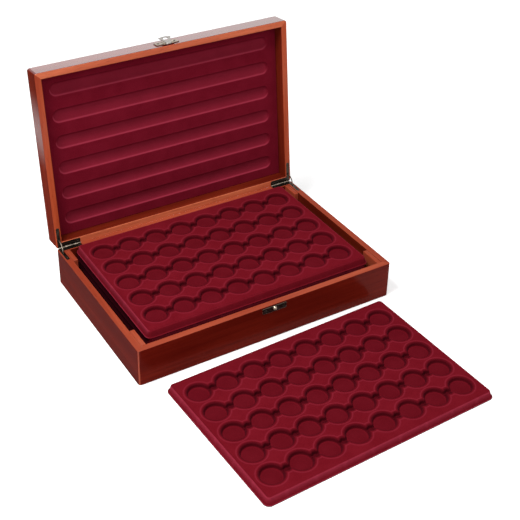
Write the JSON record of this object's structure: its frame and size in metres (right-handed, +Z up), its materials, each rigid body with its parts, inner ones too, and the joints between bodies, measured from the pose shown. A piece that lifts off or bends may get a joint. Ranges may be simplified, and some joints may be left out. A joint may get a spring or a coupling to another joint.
{
  "type": "coin display case",
  "caption": "Low mahogany case with a hinged lid and finger gaps, holding stacked flocked trays with rows of round coin recesses, and one tray lying in front.",
  "frame": {"origin": "centre of the case's underside", "axes": "+X along the case's front, to the right as seen from the latch; +Y from the front to the hinges; +Z up"},
  "size_m": [0.4, 0.5835, 0.3279],
  "materials": {
    "mahogany": "stained red-brown, high gloss lacquer",
    "burgundy_flock": "short burgundy flock",
    "dark_bronze": "dark bronzed brass, bright at worn edges",
    "bright_steel": "bright, lightly brushed"
  },
  "bodies": {
    "base": {"base_front_board": "mahogany", "base_right_board": "mahogany", "base_back_board": "mahogany", "base_left_board": "mahogany", "bottom_panel": "mahogany", "floor_lining": "burgundy_flock", "front_left_block": "mahogany", "front_right_block": "mahogany", "back_left_block": "mahogany", "back_right_block": "mahogany", "left_hinge_base_leaf": "dark_bronze", "right_hinge_base_leaf": "dark_bronze", "left_hinge_pin": "dark_bronze", "right_hinge_pin": "dark_bronze", "keeper_plate": "dark_bronze", "left_hinge_base_side_screw": "dark_bronze", "left_hinge_base_back_screw": "dark_bronze", "right_hinge_base_side_screw": "dark_bronze", "right_hinge_base_back_screw": "dark_bronze", "keeper_plate_left_screw": "dark_bronze", "keeper_plate_right_screw": "dark_bronze"},
    "lid": {"lid_front_board": "mahogany", "lid_right_board": "mahogany", "lid_back_board": "mahogany", "lid_left_board": "mahogany", "lid_top_panel": "mahogany", "lid_liner": "burgundy_flock", "left_hinge_lid_leaf": "dark_bronze", "right_hinge_lid_leaf": "dark_bronze", "latch_plate": "dark_bronze", "latch_pin": "dark_bronze", "left_hinge_lid_side_screw": "dark_bronze", "left_hinge_lid_back_screw": "dark_bronze", "right_hinge_lid_side_screw": "dark_bronze", "right_hinge_lid_back_screw": "dark_bronze", "latch_plate_left_screw": "dark_bronze", "latch_plate_right_screw": "dark_bronze"},
    "left_stay": {"left_stay": "bright_steel"},
    "right_stay": {"right_stay": "bright_steel"},
    "hasp": {"hasp": "bright_steel"},
    "tray_1": {"tray_1": "burgundy_flock"},
    "tray_2": {"tray_2": "burgundy_flock"},
    "tray_3": {"tray_3": "burgundy_flock"},
    "tray_4": {"tray_4": "burgundy_flock"},
    "tray_5": {"tray_5": "burgundy_flock"},
    "loose_tray": {"loose_tray": "burgundy_flock"}
  },
  "joints": [
    {"name": "lid_hinge", "type": "hinge", "parent": "base", "child": "lid", "pos_m": [0, 0.1335, 0.05625], "axis": [-1, 0, 0], "range_deg": [-96, 0]},
    {"name": "left_stay_swing", "type": "hinge", "parent": "base", "child": "left_stay", "pos_m": [0, 0.1335, 0.05625], "axis": [-1, 0, 0], "range_deg": [-48, 0]},
    {"name": "right_stay_swing", "type": "hinge", "parent": "base", "child": "right_stay", "pos_m": [0, 0.1335, 0.05625], "axis": [-1, 0, 0], "range_deg": [-48, 0]},
    {"name": "hasp_hinge", "type": "hinge", "parent": "lid", "child": "hasp", "pos_m": [0.004, 0.16602, 0.32311], "axis": [-1, 0, 0], "range_deg": [-157, 15]},
    {"name": "tray_1_lift", "type": "slide", "parent": "base", "child": "tray_1", "axis": [0, 0, 1], "range_m": [0, 0.06]},
    {"name": "tray_2_lift", "type": "slide", "parent": "tray_1", "child": "tray_2", "axis": [0, 0, 1], "range_m": [0, 0.06]},
    {"name": "tray_3_lift", "type": "slide", "parent": "tray_2", "child": "tray_3", "axis": [0, 0, 1], "range_m": [0, 0.06]},
    {"name": "tray_4_lift", "type": "slide", "parent": "tray_3", "child": "tray_4", "axis": [0, 0, 1], "range_m": [0, 0.06]},
    {"name": "tray_5_lift", "type": "slide", "parent": "tray_4", "child": "tray_5", "axis": [0, 0, 1], "range_m": [0, 0.06]},
    {"name": "loose_tray_lift", "type": "slide", "parent": "base", "child": "loose_tray", "axis": [0, 0, 1], "range_m": [0, 0.08]}
  ],
  "couplings": [
    {"joint": "left_stay_swing", "follows": "lid_hinge", "ratio": 0.5},
    {"joint": "right_stay_swing", "follows": "lid_hinge", "ratio": 0.5}
  ]
}
